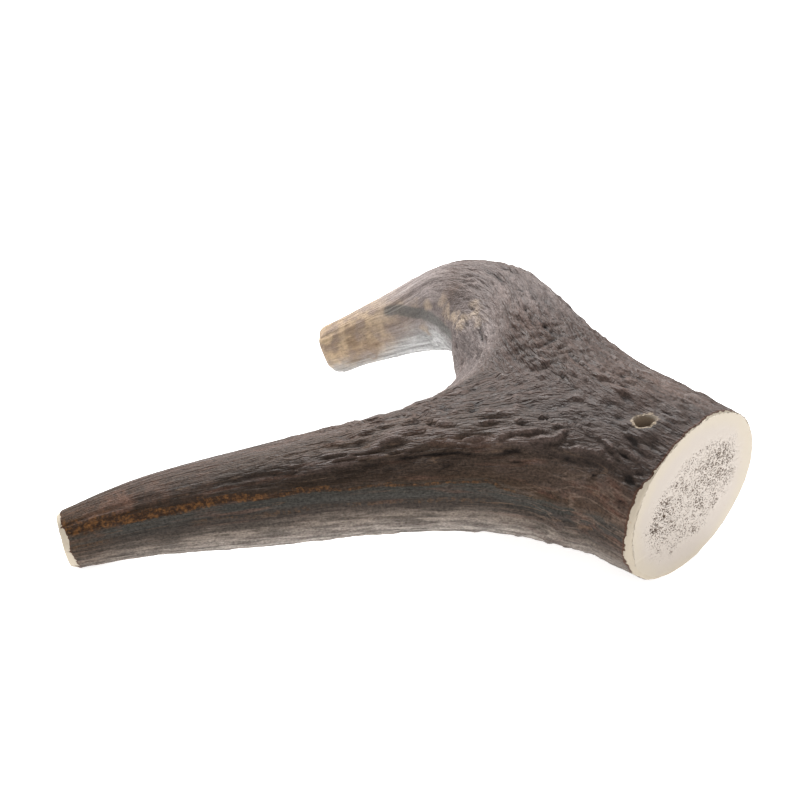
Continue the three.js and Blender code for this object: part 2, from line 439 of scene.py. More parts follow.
def ground_rim(bark_places, section, facing, radial, slope, roundness, graze, seed):
    """Brings the bark in to the sanded rim of a cut. Also gives how much was sanded off there."""
    centre, wide, thick = (np.array(vector) for vector in section)
    facing = np.array(facing)
    behind = np.maximum(-((bark_places - centre) @ facing), 0)
    flat = bark_places - centre
    flat -= np.outer(flat @ facing, facing)
    across = flat @ wide / (wide @ wide)
    over = flat @ thick / (thick @ thick)
    reach = np.maximum(np.hypot(across, over), 1e-6)
    reach_mm = np.maximum(np.linalg.norm(flat, axis=1), 1e-6)
    rim_mm = reach_mm / reach
    turn = np.stack([across / reach, over / reach, np.zeros(len(reach))], axis=1)
    uneven = 1 + 0.3 * noise_at(turn * 1.6, seed)
    uneven += 0.3 * noise_at(turn * np.linalg.norm(wide) / 3.2, seed)
    radial = radial(turn) * uneven
    depth = slope * radial
    left = np.clip(1 - behind / depth, 0, 1)
    curved = 1 - np.sqrt(1 - left**2)
    allowed = rim_mm - radial * (left * (1 - roundness) + curved * roundness)
    allowed += 3 * np.maximum(behind - depth, 0)
    ground = reach_mm - allowed
    sanded_here = behind < SANDED_REACH
    trimmed_here = behind < TRIMMED_REACH
    shrink = np.where(sanded_here & (ground > 0), allowed / reach_mm, 1)
    trimmed = centre + flat * shrink[:, None] - np.outer(behind, facing)
    inside_graze = graze(turn) - behind
    ground = np.maximum(ground, np.where(inside_graze > 0, 0.4, 1.4) * inside_graze)
    moved = np.where(trimmed_here[:, None], trimmed, bark_places)
    return moved, np.where(sanded_here, ground, UNSANDED)


def base_rim(turn):
    """The sander leant on the side that faces the long tine, and hardly touched the other."""
    return np.maximum(0.75 - 0.8 * turn[:, 0] - 0.6 * turn[:, 1], 0.4)


def long_tip_rim(turn):
    return 1.1 - 0.2 * turn[:, 1]


def short_tip_rim(turn):
    return np.full(len(turn), 1.5)


def base_graze(turn):
    """On the upper side the sander only grazed the bark, in from the cut, here and there."""
    upper = smoothstep(-0.5, 0.4, turn[:, 1] - turn[:, 0]) * (1 - 0.8 * smoothstep(-0.5, 0.1, turn[:, 0]))
    return upper * (1.2 + 1.3 * noise_at(turn * 2.5, 17) + 0.45 * noise_at(turn * 14, 19))


def no_graze(turn):
    return np.full(len(turn), UNSANDED)


# growth, station and cut; how far the rim reaches; width, slope and roundness of the sanding,
# how far it grazed the bark, and its seed; the short tip's bark is worn as pale as its bone
SANDED_RIMS = [
    (long_growth, BASE_STATION, BASE_CUT, 34, base_rim, 1.3, 0.8, base_graze, 2, True),
    (long_growth, LONG_TIP_STATION, LONG_TIP_CUT, 14, long_tip_rim, 1.7, 0.4, no_graze, 5, True),
    (short_growth, SHORT_TIP_STATION, SHORT_TIP_CUT, 14, short_tip_rim, 1.6, 0.9, no_graze, 8, False),
]
sanded = np.full(len(places), float(UNSANDED))
for growth, station, cut, reach, rim, slope, roundness, graze, seed, shows_bone in SANDED_RIMS:
    here = np.linalg.norm(places - cut[0], axis=1) < reach
    section = growth.section(station, cut)
    trimmed, ground = ground_rim(bark_places[here], section, cut[1], rim, slope, roundness, graze, seed)
    bark_places[here] = trimmed
    sanded[here] = ground if shows_bone else UNSANDED
bark_places[:, 2] = np.maximum(bark_places[:, 2], ABOVE_THE_TABLE)


def mark(some_mesh, name, *values):
    """Keeps up to three values for every vertex, for the materials to read."""
    rows = np.zeros((len(some_mesh.vertices), 3))
    for column, value in enumerate(values):
        rows[:, column] = value
    attribute = some_mesh.attributes.new(name, "FLOAT_VECTOR", "POINT")
    attribute.data.foreach_set("vector", rows.ravel())


mark(bark, "grain_long", *grain_long.T)
mark(bark, "grain_short", *grain_short.T)
mark(bark, "grain_crotch", *grain_crotch.T)
mark(bark, "flow", to_short, to_crotch, rugged)
mark(bark, "surface", relief, sanded)
bark.vertices.foreach_set("co", (bark_places * MM).ravel())
bark.update()

# the flat cuts are filled with grids of faces; the core of the base needs them finer
RIM_WITHIN = 32
RIM_FLATNESS = 0.5
CORE_CUTS = 1

sawn = bmesh.new()
sawn.from_mesh(bark)
rim_edges = [edge for edge in sawn.edges if edge.is_boundary]
for centre, facing in (BASE_CUT, LONG_TIP_CUT, SHORT_TIP_CUT):
    rim = [edge for edge in rim_edges if (edge.verts[0].co / MM - centre).length < RIM_WITHIN]
    rim = {edge for edge in rim if abs((edge.verts[0].co / MM - centre).dot(facing)) < RIM_FLATNESS}
    start = min(rim, key=lambda edge: edge.index)
    loop = [start.verts[0], start.verts[1]]
    while len(loop) < len(rim):
        onward = [edge.other_vert(loop[-1]) for edge in loop[-1].link_edges if edge in rim]
        loop.append(next(vertex for vertex in onward if vertex is not loop[-2]))
    quarter = len(loop) // 4
    sides = [sawn.edges.get((loop[k], loop[k + 1])) for k in range(quarter)]
    sides += [sawn.edges.get((loop[k], loop[k + 1])) for k in range(2 * quarter, 3 * quarter)]
    filled = bmesh.ops.grid_fill(sawn, edges=sides, mat_nr=1, use_smooth=False, use_interp_simple=True)
    if centre is BASE_CUT[0]:
        inner = {edge for face in filled["faces"] for edge in face.edges if edge not in rim}
        inner = [edge for edge in sawn.edges if edge in inner and not edge.is_boundary]
        bmesh.ops.subdivide_edges(sawn, edges=inner, cuts=CORE_CUTS, use_grid_fill=True)
bmesh.ops.recalc_face_normals(sawn, faces=sawn.faces)
sawn.to_mesh(bark)
sawn.free()
bark.shade_smooth()

# the middle of the sawn base and of each tip is spongy, with open pores where the marrow was:
# cut, growth and station, the core's share of the width and the thickness, and how porous it is
CORES = [
    (BASE_CUT, long_growth, BASE_STATION, 0.83, 0.67, 1.0),
    (LONG_TIP_CUT, long_growth, LONG_TIP_STATION, 0.45, 0.45, 0.35),
    (SHORT_TIP_CUT, short_growth, SHORT_TIP_STATION, 0.45, 0.45, 0.35),
]
PORE_CLUSTERS = [(78, -32.4, 25.7), (61.7, -49.6, 19.5)]
PORE_CLUSTER_REACH = 9
PORE_SPACING = 0.6
PORE_DEPTH = 0.55
CORE_UNEVENNESS = 0.1

places = places_in(bark) / MM
on_cut = np.zeros(len(places), bool)
faces_of_bone = [face for face in bark.polygons if face.material_index == 1]
on_cut[[vertex for face in faces_of_bone for vertex in face.vertices]] = True
spongy = np.zeros(len(places))
pores = np.zeros(len(places))
rim_distance = np.zeros(len(places))
for cut, growth, station, core_width, core_thickness, density in CORES:
    centre, wide, thick = (np.array(vector) for vector in growth.section(station, cut))
    here = on_cut & (np.linalg.norm(places - centre, axis=1) < np.linalg.norm(wide) + 3)
    flat = places[here] - centre
    across = flat @ wide / (wide @ wide)
    over = flat @ thick / (thick @ thick)
    ragged = 1 + 0.1 * noise_at(flat / 3.1, 4) + 0.06 * noise_at(flat / 1.1, 4)
    core_reach = np.hypot(across / core_width, over / core_thickness) * ragged
    soft = 1 - smoothstep(0.72, 1.08, core_reach)
    clusters = 0.6 * smoothstep(-0.3, 0.5, noise_at(flat / 3.4, 6))
    for cluster in PORE_CLUSTERS:
        away = np.linalg.norm(places[here] - cluster, axis=1) / PORE_CLUSTER_REACH
        clusters = clusters + 0.7 * (1 - smoothstep(0.2, 1, away))
    clusters = np.clip(clusters, 0, 1)
    hollow = smoothstep(0.2, 0.45, noise_at(flat / PORE_SPACING, 8))
    spongy[here] = soft * density * (0.68 + 0.32 * clusters)
    pores[here] = hollow * soft * (0.3 + 0.7 * clusters**2) * density
    rim_distance[here] = (1 - np.hypot(across, over)) * np.linalg.norm(thick)
    sunk = pores[here] * PORE_DEPTH + CORE_UNEVENNESS * soft * noise_at(flat / 1.6, 12)
    places[here] -= np.outer(sunk, np.array(cut[1]))
mark(bark, "bone", spongy, pores, rim_distance)
bark.vertices.foreach_set("co", (places * MM).ravel())
bark.update()


# ---- The antler: colours on the bark ---------------------------------------------------------
# The bark is stained umber by blood and soil, paler on the tines, and paler on its crests, partly
# by polish and partly as a painted highlight. An ochre line and a blue-grey band run along the
# front; under them the bark is pale, partly its own colour and partly painted floor-bounce light.

OCHRE_LINE_X = [-84, -66, -47, -20, 6, 20, 33, 50, 70]
OCHRE_LINE_Z = [13.2, 18.2, 22.1, 25, 26.2, 26.6, 23.4, 21.5, 17]
OCHRE_WIDTH_X = [-84, -60, -38, -15, 6, 70]
OCHRE_WIDTH = [1.6, 1.25, 0.9, 0.52, 0.34, 0.3]
FRONT_TONE_X = [-60, -22, 6, 26, 44, 70]
FRONT_TONE = [0.82, 0.82, 1.2, 1.5, 1.65, 1.6]

# the middle lines of the tines, seen from above and from the front
SHORT_TINE_X = [-22, -3.4, 12.6, 24]
SHORT_TINE_Y = [51.2, 48.6, 45, 31]
SHORT_TINE_UNDER_X = [-22, -8, 0, 8, 15]
SHORT_TINE_UNDER_Z = [4, 9.5, 18, 25, 24]
SHORT_TINE_TOP_X = [-22, 0, 15]
SHORT_TINE_TOP_Z = [10, 21, 28]
LONG_TINE_X = [-84, -36, -11, 14]
LONG_TINE_Y = [-41.8, -35.6, -31.8, -28]
LONG_TINE_SIDE_X = [-84, -61, -36, -11, 14]
LONG_TINE_SIDE_Z = [7.3, 13.1, 16.1, 18.9, 20.9]

# the middle of each patch, how far it reaches, how strong it is
CREAM_PATCHES = [
    ((11, 28.2, 31.9), 2.4, 0.9),
    ((12.9, 23.8, 32.8), 2.8, 1.0),
    ((14.3, 18.8, 34.1), 2.6, 0.9),
    ((18.1, 21.6, 38.5), 1.9, 0.55),
    ((18.3, 18.2, 37.6), 2.2, 0.6),
    ((19.5, 14.2, 37.4), 2.2, 0.5),
    ((-1.4, 42.5, 26.9), 1.5, 0.6),
    ((2.6, 39.3, 28.6), 1.8, 0.7),
    ((6.1, 35.8, 29.9), 2.0, 0.8),
    ((10, 31.5, 33.4), 2.2, 0.6),
    ((5.2, 35.3, 23.2), 2.2, 0.7),
]
BROWN_PATCHES = [
    ((-15.4, 45, 17.2), 2.6, 0.7),
    ((-13.6, 43.6, 13.6), 2.8, 0.75),
    ((-9.4, 41.8, 13.4), 3.0, 0.6),
    ((-8.6, 41.6, 9.8), 2.6, 0.7),
    ((-13, 42.6, 8.4), 2.6, 0.5),
    ((4.6, 36.5, 34.6), 3.0, 0.35),
    ((11.5, 32, 37), 3.4, 0.3),
]
RUST_PATCHES = [
    ((-72, -44, 19.4), 6, 0.85),
    ((-61, -42.5, 23), 5, 0.4),
    ((-78, -46, 15.4), 4, 0.9),
    ((-50, -44, 23.4), 4, 0.25),
]
# the dark stain that follows the bend of the short tine
GREY_STREAK = [
    (-4.8, 43.2, 23.9),
    (-1.9, 41.5, 25.3),
    (1.3, 38.8, 25.9),
    (4.6, 36.2, 26.9),
    (7.3, 32.9, 27.4),
    (9.3, 29.7, 27.4),
    (11.1, 27.2, 26.8),
    (12.1, 22.6, 27.4),
]
GREY_STREAK_WIDTH = 1.8
# a paler, worn strip over the top of the beam, from the bend towards the sawn base
WORN_STRIP = [
    (26, 22, 39.5),
    (29, 10.2, 40.3),
    (34.7, -0.4, 39.9),
    (42.8, -8.2, 39.6),
    (51.1, -15.8, 40.1),
    (60.3, -22.6, 40.4),
    (71.8, -29.4, 39.5),
]
WORN_STRIP_WIDTH = 4.5
FAR_FROM_THE_HOLE = 99


def patch_strength(patches):
    strength = np.zeros(len(places))
    for middle, reach, most in patches:
        far = np.linalg.norm(places - middle, axis=1) / reach + patch_edge
        strength = np.maximum(strength, most * (1 - smoothstep(0.35, 1.25, far)))
    return strength


def from_streak(course):
    """How far each place is from a line through the places of a course, in millimetres."""
    nearest = np.full(len(places), np.inf)
    for start, end in zip(np.array(course[:-1]), np.array(course[1:])):
        onward = end - start
        part = np.clip((places - start) @ onward / (onward @ onward), 0, 1)
        away = np.linalg.norm(places - start - part[:, None] * onward, axis=1)
        nearest = np.minimum(nearest, away)
    return nearest


x, y, z = places.T
patch_edge = 0.7 * noise_at(places / 1.9, 13)

# the short tine is pale grey, tan at its tip and nearly white underneath, partly as painted
# light bounced up from the floor, and plainer behind
behind_short_tine = y - np.interp(x, SHORT_TINE_X, SHORT_TINE_Y)
on_short_tine = (1 - smoothstep(-2, 19, x)) * smoothstep(17, 26, y)
near_bend = smoothstep(6, 20, x) * smoothstep(4, 24, y)
in_crotch = 1 - smoothstep(17, 27, np.linalg.norm(places[:, :2] - CROTCH_CENTRE, axis=1))
paleness = np.maximum(on_short_tine, 0.5 * np.maximum(0.65 * near_bend, in_crotch))
paleness *= 1 - 0.5 * smoothstep(0, 9, behind_short_tine) * smoothstep(15, 30, y)
above_tan = smoothstep(3, 9, z - np.interp(x, SHORT_TINE_TOP_X, SHORT_TINE_TOP_Z))
tanned = (1 - smoothstep(-13, 6, x)) * (y > 20) * (1 - 0.8 * above_tan)
tanned *= 1 - 0.6 * smoothstep(-2, 7, behind_short_tine)
above_chalk_and_bounce = z - np.interp(x, SHORT_TINE_UNDER_X, SHORT_TINE_UNDER_Z)
below_short = (1 - smoothstep(-4, 5, above_chalk_and_bounce)) * smoothstep(19, 26, y)
below_short *= 1 - smoothstep(8, 18, x)
below_short *= 1 - smoothstep(-2, 5, behind_short_tine)
mark(bark, "paleness", paleness, tanned, below_short)

# the bands follow the front of the beam and of the long tine
behind_long_tine = y - np.interp(x, LONG_TINE_X, LONG_TINE_Y)
in_front = 1 - smoothstep(-3, 6, behind_long_tine)
of_short_tine = smoothstep(-12, 12, y) * (1 - smoothstep(20, 45, x)) + smoothstep(-8, 14, y)
of_long_tine = 1 - np.clip(of_short_tine, 0, 1)
banded = of_long_tine * (1 - 0.55 * smoothstep(38, 62, x)) * (0.3 + 0.7 * in_front)
below_line = np.interp(x, OCHRE_LINE_X, OCHRE_LINE_Z) - z + 0.5 * noise_at(places / (9, 12, 12), 31)
mark(bark, "bands", below_line, banded, np.interp(x, OCHRE_WIDTH_X, OCHRE_WIDTH))

grey_streak = 1 - smoothstep(0.55, 1.25, from_streak(GREY_STREAK) / GREY_STREAK_WIDTH)
long_tip_worn = 1 - smoothstep(-86, -66, x)
mark(bark, "patches", patch_strength(CREAM_PATCHES), grey_streak, patch_strength(BROWN_PATCHES))
mark(bark, "rust", patch_strength(RUST_PATCHES), long_tip_worn, smoothstep(12, 40, x))

# how much lighter or darker the umber is: at the front, on the beam, and on the tops of the
# long tine and of the base, which are lighter as a painted highlight where the softbox falls
on_the_front = of_long_tine * smoothstep(-10, -5.5, below_line) * (1 - smoothstep(0, 1.5, below_line))
above_the_front = smoothstep(26, 40, x) * (1 - smoothstep(-30, -18, y))
above_the_front *= 1 - smoothstep(-10, -7, below_line)
tone_and_highlight = 1 + on_the_front * (np.interp(x, FRONT_TONE_X, FRONT_TONE) - 1) - 0.25 * above_the_front
# painted highlight: the top of the long tine is lightened where the light from behind falls
above_long_tine = z - np.interp(x, LONG_TINE_SIDE_X, LONG_TINE_SIDE_Z)
round_long_tine = np.degrees(np.arctan2(above_long_tine, -behind_long_tine))
highlight_on_long_tine_top = smoothstep(60, 78, round_long_tine) * (1 - smoothstep(150, 175, round_long_tine))
highlight_on_long_tine_top *= (1 - smoothstep(-25, 20, x)) * smoothstep(-86, -70, x)
tone_and_highlight *= 1 + 0.6 * highlight_on_long_tine_top
# painted highlight: the top of the base, on the side facing the softbox, is lightened
tone_and_highlight *= 1 + 0.22 * smoothstep(45, 60, x) * smoothstep(-37, -20, y) * smoothstep(24, 30, z)
worn = from_streak(WORN_STRIP) / WORN_STRIP_WIDTH + 0.5 * noise_at(places / 3.5, 41)
tone_and_highlight *= 1 + 0.4 * (1 - smoothstep(0.2, 1.3, worn))
from_hole = np.where(z > TOP_ABOVE_Z, np.hypot(x - HOLE_X, y - HOLE_Y), FAR_FROM_THE_HOLE)
mark(bark, "sides", in_front, tone_and_highlight, from_hole)


# ---- The antler: finish ----------------------------------------------------------------------
# Two finishes: satin bark, whose stains follow the grain, and sawn bone, cream and matt. Where
# the sander or the drill has broken through the bark, its finish shows the same bone.

# millimetres under the ochre line, and the bark's colour there; the palest stops, on the
# underside, are partly painted light bounced up from the floor
BAND_REACH = 15
BAND_COLOURS = [
    (-15, (0.08, 0.06, 0.052)),
    (-10, (0.056, 0.039, 0.031)),
    (-6.5, (0.042, 0.028, 0.02)),
    (-3, (0.036, 0.0235, 0.0165)),
    (-0.6, (0.039, 0.024, 0.0145)),
    (0.5, (0.04, 0.038, 0.032)),
    (2.6, (0.054, 0.052, 0.046)),
    (3.7, (0.037, 0.032, 0.027)),
    (5.6, (0.056, 0.044, 0.036)),
    (8.6, (0.175, 0.143, 0.118)),
    (15, (0.34, 0.3, 0.266)),
]
DARK_UMBER, LIGHT_UMBER = (0.0285, 0.017, 0.012), (0.077, 0.05, 0.0405)
RUST, RUST_PATCH, RUSTY_EDGE = (0.115, 0.06, 0.042), (0.15, 0.08, 0.055), (0.09, 0.035, 0.018)
PALE_THREAD, PALE_VEIN = (0.18, 0.115, 0.075), (0.16, 0.112, 0.084)
WORN_TIP = (0.1, 0.056, 0.03)
DARK_OCHRE, LIGHT_OCHRE, FAINT_OCHRE = (0.04, 0.019, 0.009), (0.15, 0.066, 0.021), (0.09, 0.052, 0.03)
DARK_DUSK, LIGHT_DUSK = (0.23, 0.19, 0.18), (0.38, 0.33, 0.315)
DARK_TAN, LIGHT_TAN = (0.29, 0.2, 0.135), (0.56, 0.415, 0.27)
DARK_CHALK_AND_BOUNCE, LIGHT_CHALK_AND_BOUNCE = (0.31, 0.31, 0.305), (0.57, 0.57, 0.565)
CREAM_FLECK, BROWN_PATCH, GREY_STAIN = (0.38, 0.295, 0.22), (0.14, 0.085, 0.058), (0.115, 0.115, 0.105)
# the crest colour is partly polish and partly a painted highlight; the hollow colour is painted shade
CREST_POLISH_AND_HIGHLIGHT, PAINTED_HOLLOW_SHADE = (0.092, 0.062, 0.052), (0.012, 0.009, 0.008)
BONE_BY_THE_BARK, BONE_INSIDE = (0.52, 0.45, 0.355), (0.5, 0.435, 0.375)
BONE_STAIN, MARROW, OPEN_PORE = (0.42, 0.29, 0.16), (0.6, 0.53, 0.47), (0.085, 0.05, 0.027)
CHIPPED_BONE = (0.37, 0.295, 0.215)
HOLE_RADIUS = 2.7


def node(kind, sockets=None, **settings):
    """Adds a node to the tree in hand. A socket is given a value, or the output that feeds it."""
    made = tree.nodes.new(kind)
    for name, value in settings.items():
        setattr(made, name, value)
    for name, value in (sockets or {}).items():
        if isinstance(value, bpy.types.NodeSocket):
            tree.links.new(value, made.inputs[name])
        else:
            made.inputs[name].default_value = value
    return made


def sums(operation, *values):
    return node("ShaderNodeMath", dict(enumerate(values)), operation=operation).outputs[0]


def times(value, factor):
    return sums("MULTIPLY", value, factor)


def plus(value, other):
    return sums("ADD", value, other)


def less(value, other):
    return sums("SUBTRACT", value, other)


def off(value, middle):
    """How far a value is from a middle one, to either side."""
    return sums("ABSOLUTE", less(value, middle))


def swing(noise_value, amount):
    """Noise of 0 to 1, made to swing about nothing."""
    return times(less(noise_value, 0.5), amount)


def ramp_up(value, low, high, least=0.0, most=1.0, course="SMOOTHSTEP"):
    """A value between two limits, turned into one that rises from the least to the most."""
    sockets = {"Value": value, "From Min": low, "From Max": high, "To Min": least, "To Max": most}
    return node("ShaderNodeMapRange", sockets, interpolation_type=course).outputs["Result"]


def blend(amount, under, over):
    mixing = node("ShaderNodeMix", data_type="RGBA")
    for name, kind, value in (("Factor", "VALUE", amount), ("A", "RGBA", under), ("B", "RGBA", over)):
        socket = next(i for i in mixing.inputs if i.name == name and i.type == kind)
        if isinstance(value, bpy.types.NodeSocket):
            tree.links.new(value, socket)
        else:
            socket.default_value = value if kind == "VALUE" else (*value, 1)
    return next(output for output in mixing.outputs if output.type == "RGBA")


def shaded_by(colour, factor):
    sockets = {0: colour, "Scale": factor}
    return node("ShaderNodeVectorMath", sockets, operation="SCALE").outputs[0]


def cloud(where, scale, detail, roughness=0.5):
    sockets = {"Vector": where, "Scale": scale, "Detail": detail, "Roughness": roughness}
    return node("ShaderNodeTexNoise", sockets)


def marked(name):
    """The three values that mark() kept under a name."""
    kept = node("ShaderNodeAttribute", attribute_name=name).outputs["Vector"]
    apart = node("ShaderNodeSeparateXYZ", {0: kept})
    return apart.outputs[0], apart.outputs[1], apart.outputs[2]


def new_group(name, inputs, outputs):
    tree = bpy.data.node_groups.new(name, "ShaderNodeTree")
    for label, kind in inputs:
        tree.interface.new_socket(label, in_out="INPUT", socket_type=kind)
    for label, kind in outputs:
        tree.interface.new_socket(label, in_out="OUTPUT", socket_type=kind)
    return tree, tree.nodes.new("NodeGroupInput"), tree.nodes.new("NodeGroupOutput")


def new_finish(name):
    finish = bpy.data.materials.new(name)
    finish.use_nodes = True
    return finish, finish.node_tree, finish.node_tree.nodes["Principled BSDF"]


FLOAT, COLOUR, VECTOR = "NodeSocketFloat", "NodeSocketColor", "NodeSocketVector"

# noise drawn out along the growth: scale is in cycles per millimetre along and across
grain_group, given, result = new_group("grain", [("Scale", VECTOR), ("Detail", FLOAT)], [("Value", FLOAT)])
tree = grain_group
to_short_socket, to_crotch_socket, _ = marked("flow")
noises = []
for name in ("grain_long", "grain_short", "grain_crotch"):
    grain_place = node("ShaderNodeAttribute", attribute_name=name).outputs["Vector"]
    sockets = {0: grain_place, 1: given.outputs["Scale"]}
    drawn_out = node("ShaderNodeVectorMath", sockets, operation="MULTIPLY").outputs[0]
    sockets = {"Vector": drawn_out, "Scale": 1.0, "Detail": given.outputs["Detail"]}
    noises.append(node("ShaderNodeTexNoise", sockets).outputs[0])
sockets = {0: to_short_socket, 2: noises[0], 3: noises[1]}
on_tines = node("ShaderNodeMix", sockets, data_type="FLOAT").outputs[0]
sockets = {0: to_crotch_socket, 2: on_tines, 3: noises[2]}
tree.links.new(node("ShaderNodeMix", sockets, data_type="FLOAT").outputs[0], result.inputs["Value"])


def grain(along, across, detail):
    sockets = {"Scale": (along, across, across), "Detail": detail}
    return node("ShaderNodeGroup", sockets, node_tree=grain_group).outputs[0]


# sawn and sanded bone: cream towards the bark, paler inside, with dark open pores in its core
bone_group, given, result = new_group(
    "sawn bone",
    [("Spongy", FLOAT), ("Pores", FLOAT), ("Rim Distance", FLOAT)],
    [("Color", COLOUR), ("Roughness", FLOAT), ("Height", FLOAT)],
)
tree = bone_group
where = node("ShaderNodeTexCoord").outputs["Object"]
cloudy = cloud(where, 160, 3).outputs[0]
stain = cloud(where, 420, 4, 0.65).outputs[0]
crowd = cloud(where, 330, 2).outputs[0]
from_rim = plus(given.outputs["Rim Distance"], swing(cloudy, 5.0))
colour = blend(ramp_up(from_rim, 1.2, 5.0), BONE_BY_THE_BARK, BONE_INSIDE)
colour = blend(ramp_up(stain, 0.64, 0.78, 0.0, 0.55), colour, BONE_STAIN)
colour = blend(times(given.outputs["Spongy"], 0.5), colour, MARROW)

sockets = {0: cloud(where, 2200, 2).outputs["Color"], 1: (0.00016, 0.00016, 0.00016)}
bend = node("ShaderNodeVectorMath", sockets, operation="MULTIPLY").outputs[0]
bent = node("ShaderNodeVectorMath", {0: where, 1: bend}, operation="ADD").outputs[0]
cells = node("ShaderNodeTexVoronoi", {"Vector": bent, "Scale": 2200, "Randomness": 1.0})
reach = times(ramp_up(crowd, 0.3, 0.7, 0.38, 0.62), given.outputs["Spongy"])
dots = ramp_up(less(reach, cells.outputs["Distance"]), -0.03, 0.12)
open_pore = ramp_up(given.outputs["Pores"], 0.18, 0.6)
dark = sums("MAXIMUM", times(dots, 0.8), open_pore)
colour = blend(dark, colour, OPEN_PORE)

sockets = {"Vector": where, "Rotation": (0.3, 0.5, 0.8), "Scale": (5200, 300, 5200)}
along_the_saw = node("ShaderNodeMapping", sockets).outputs[0]
scratches = cloud(along_the_saw, 1.0, 1).outputs[0]
roughness = plus(ramp_up(scratches, 0.2, 0.8, 0.38, 0.5), times(dark, 0.35))
tree.links.new(colour, result.inputs["Color"])
tree.links.new(roughness, result.inputs["Roughness"])
tree.links.new(less(times(scratches, 0.06), dots), result.inputs["Height"])


def bone_in(spongy, pores, rim):
    sockets = {"Spongy": spongy, "Pores": pores, "Rim Distance": rim}
    return node("ShaderNodeGroup", sockets, node_tree=bone_group)


bark_finish, tree, shader = new_finish("antler bark")
relief_socket, sanded_socket, _ = marked("surface")
below_socket, banded_socket, width_socket = marked("bands")
cream_socket, grey_socket, brown_socket = marked("patches")
paleness_socket, tanned_socket, below_short_socket = marked("paleness")
rust_socket, worn_socket, towards_base_socket = marked("rust")
in_front_socket, tone_and_highlight_socket, from_hole_socket = marked("sides")
_, _, rim_socket = marked("bone")
_, _, rugged_socket = marked("flow")

broad = grain(0.035, 0.16, 2.0)
streaks = grain(0.09, 0.85, 3.0)
lines = grain(0.12, 0.62, 3.0)
fine = grain(1.0, 2.7, 2.0)
where = node("ShaderNodeTexCoord").outputs["Object"]
speckle = cloud(where, 1700, 3).outputs[0]
mottle = cloud(where, 240, 3).outputs[0]
flecks = cloud(where, 700, 3, 0.7).outputs[0]
ragged = plus(mottle, times(flecks, 0.5))

# umber, in broad cloudy streaks
mix_of_grain = plus(times(broad, 0.5), times(streaks, 0.5))
colour = blend(ramp_up(mix_of_grain, 0.38, 0.62), DARK_UMBER, LIGHT_UMBER)

# the bands along the front
band_place = plus(below_socket, swing(streaks, 1.6))
band_part = ramp_up(band_place, -BAND_REACH, BAND_REACH, course="LINEAR")
bands = node("ShaderNodeValToRGB", {0: band_part})
stops = bands.color_ramp.elements
while len(stops) < len(BAND_COLOURS):
    stops.new(0.5)
for stop, (below, _) in zip(stops, BAND_COLOURS):
    stop.position = (below + BAND_REACH) / (2 * BAND_REACH)
for stop, (_, band_colour) in zip(stops, BAND_COLOURS):
    stop.color = (*band_colour, 1)
colour = blend(times(banded_socket, 0.86), colour, bands.outputs[0])
colour = shaded_by(colour, tone_and_highlight_socket)

# rusty stains, pale threads and veins: near the bands, and more of them towards the base
rust_zone = times(ramp_up(below_socket, -13, -4), ramp_up(below_socket, 9, 3))
rust_zone = times(rust_zone, plus(0.45, times(towards_base_socket, 0.45)))
rust = ramp_up(grain(0.06, 0.3, 4.0), 0.54, 0.68)
colour = blend(times(rust, rust_zone), colour, RUST)
threads = ramp_up(off(grain(0.018, 0.3, 1.0), 0.5), 0.014, 0.002)
threads = times(threads, ramp_up(mottle, 0.42, 0.62))
threads = times(threads, rust_zone)
colour = blend(times(threads, 0.8), colour, PALE_THREAD)
veins = ramp_up(off(grain(0.045, 0.42, 2.0), 0.5), 0.04, 0.004)
veins = times(veins, times(rust_zone, towards_base_socket))
colour = blend(times(veins, 0.75), colour, PALE_VEIN)
ragged_patch = ramp_up(ragged, 0.58, 0.9, 0.15, 0.9)
colour = blend(times(rust_socket, ragged_patch), colour, RUST_PATCH)
worn_streaks = ramp_up(streaks, 0.35, 0.65, 0.1, 0.6)
colour = blend(times(worn_socket, worn_streaks), colour, WORN_TIP)

# the ochre line, speckled, and a fainter one under the grey band
off_line = sums("DIVIDE", off(band_place, 0.2), width_socket)
ochre = ramp_up(plus(off_line, times(flecks, -0.9)), 0.62, 0.0)
where_wide = ramp_up(width_socket, 0.3, 1.2, 0.6, 1.0)
ochre = times(ochre, times(in_front_socket, where_wide))
off_the_base = ramp_up(towards_base_socket, 1.0, 0.2, 0.3, 1.0)
ochre = times(ochre, times(banded_socket, off_the_base))
speckled = ramp_up(flecks, 0.44, 0.64)
colour = blend(ochre, colour, blend(speckled, DARK_OCHRE, LIGHT_OCHRE))
faint = ramp_up(off(band_place, 4.2), 0.75, 0.15)
faint = times(faint, ramp_up(broad, 0.42, 0.58))
faint = times(faint, times(banded_socket, speckled))
colour = blend(times(faint, 0.75), colour, FAINT_OCHRE)

# the underside of the beam and the long tine: stringy, and pale from the palest band colours,
# which are partly painted light bounced up from the floor
underneath = times(ramp_up(band_place, 3.8, 7), banded_socket)
strings = ramp_up(lines, 0.36, 0.64, 0.62, 1.35)
strings = plus(1.0, times(less(strings, 1.0), underneath))
colour = shaded_by(colour, strings)

# the short tine: grey, tan at the tip, nearly white underneath, partly as painted
# floor-bounce light, with its patches
dusk = blend(ramp_up(mix_of_grain, 0.38, 0.62), DARK_DUSK, LIGHT_DUSK)
colour = blend(paleness_socket, colour, dusk)
tan = blend(ragged_patch, DARK_TAN, LIGHT_TAN)
mottled_tan = times(tanned_socket, ramp_up(mottle, 0.3, 0.6, 0.6, 1.0))
colour = blend(mottled_tan, colour, tan)
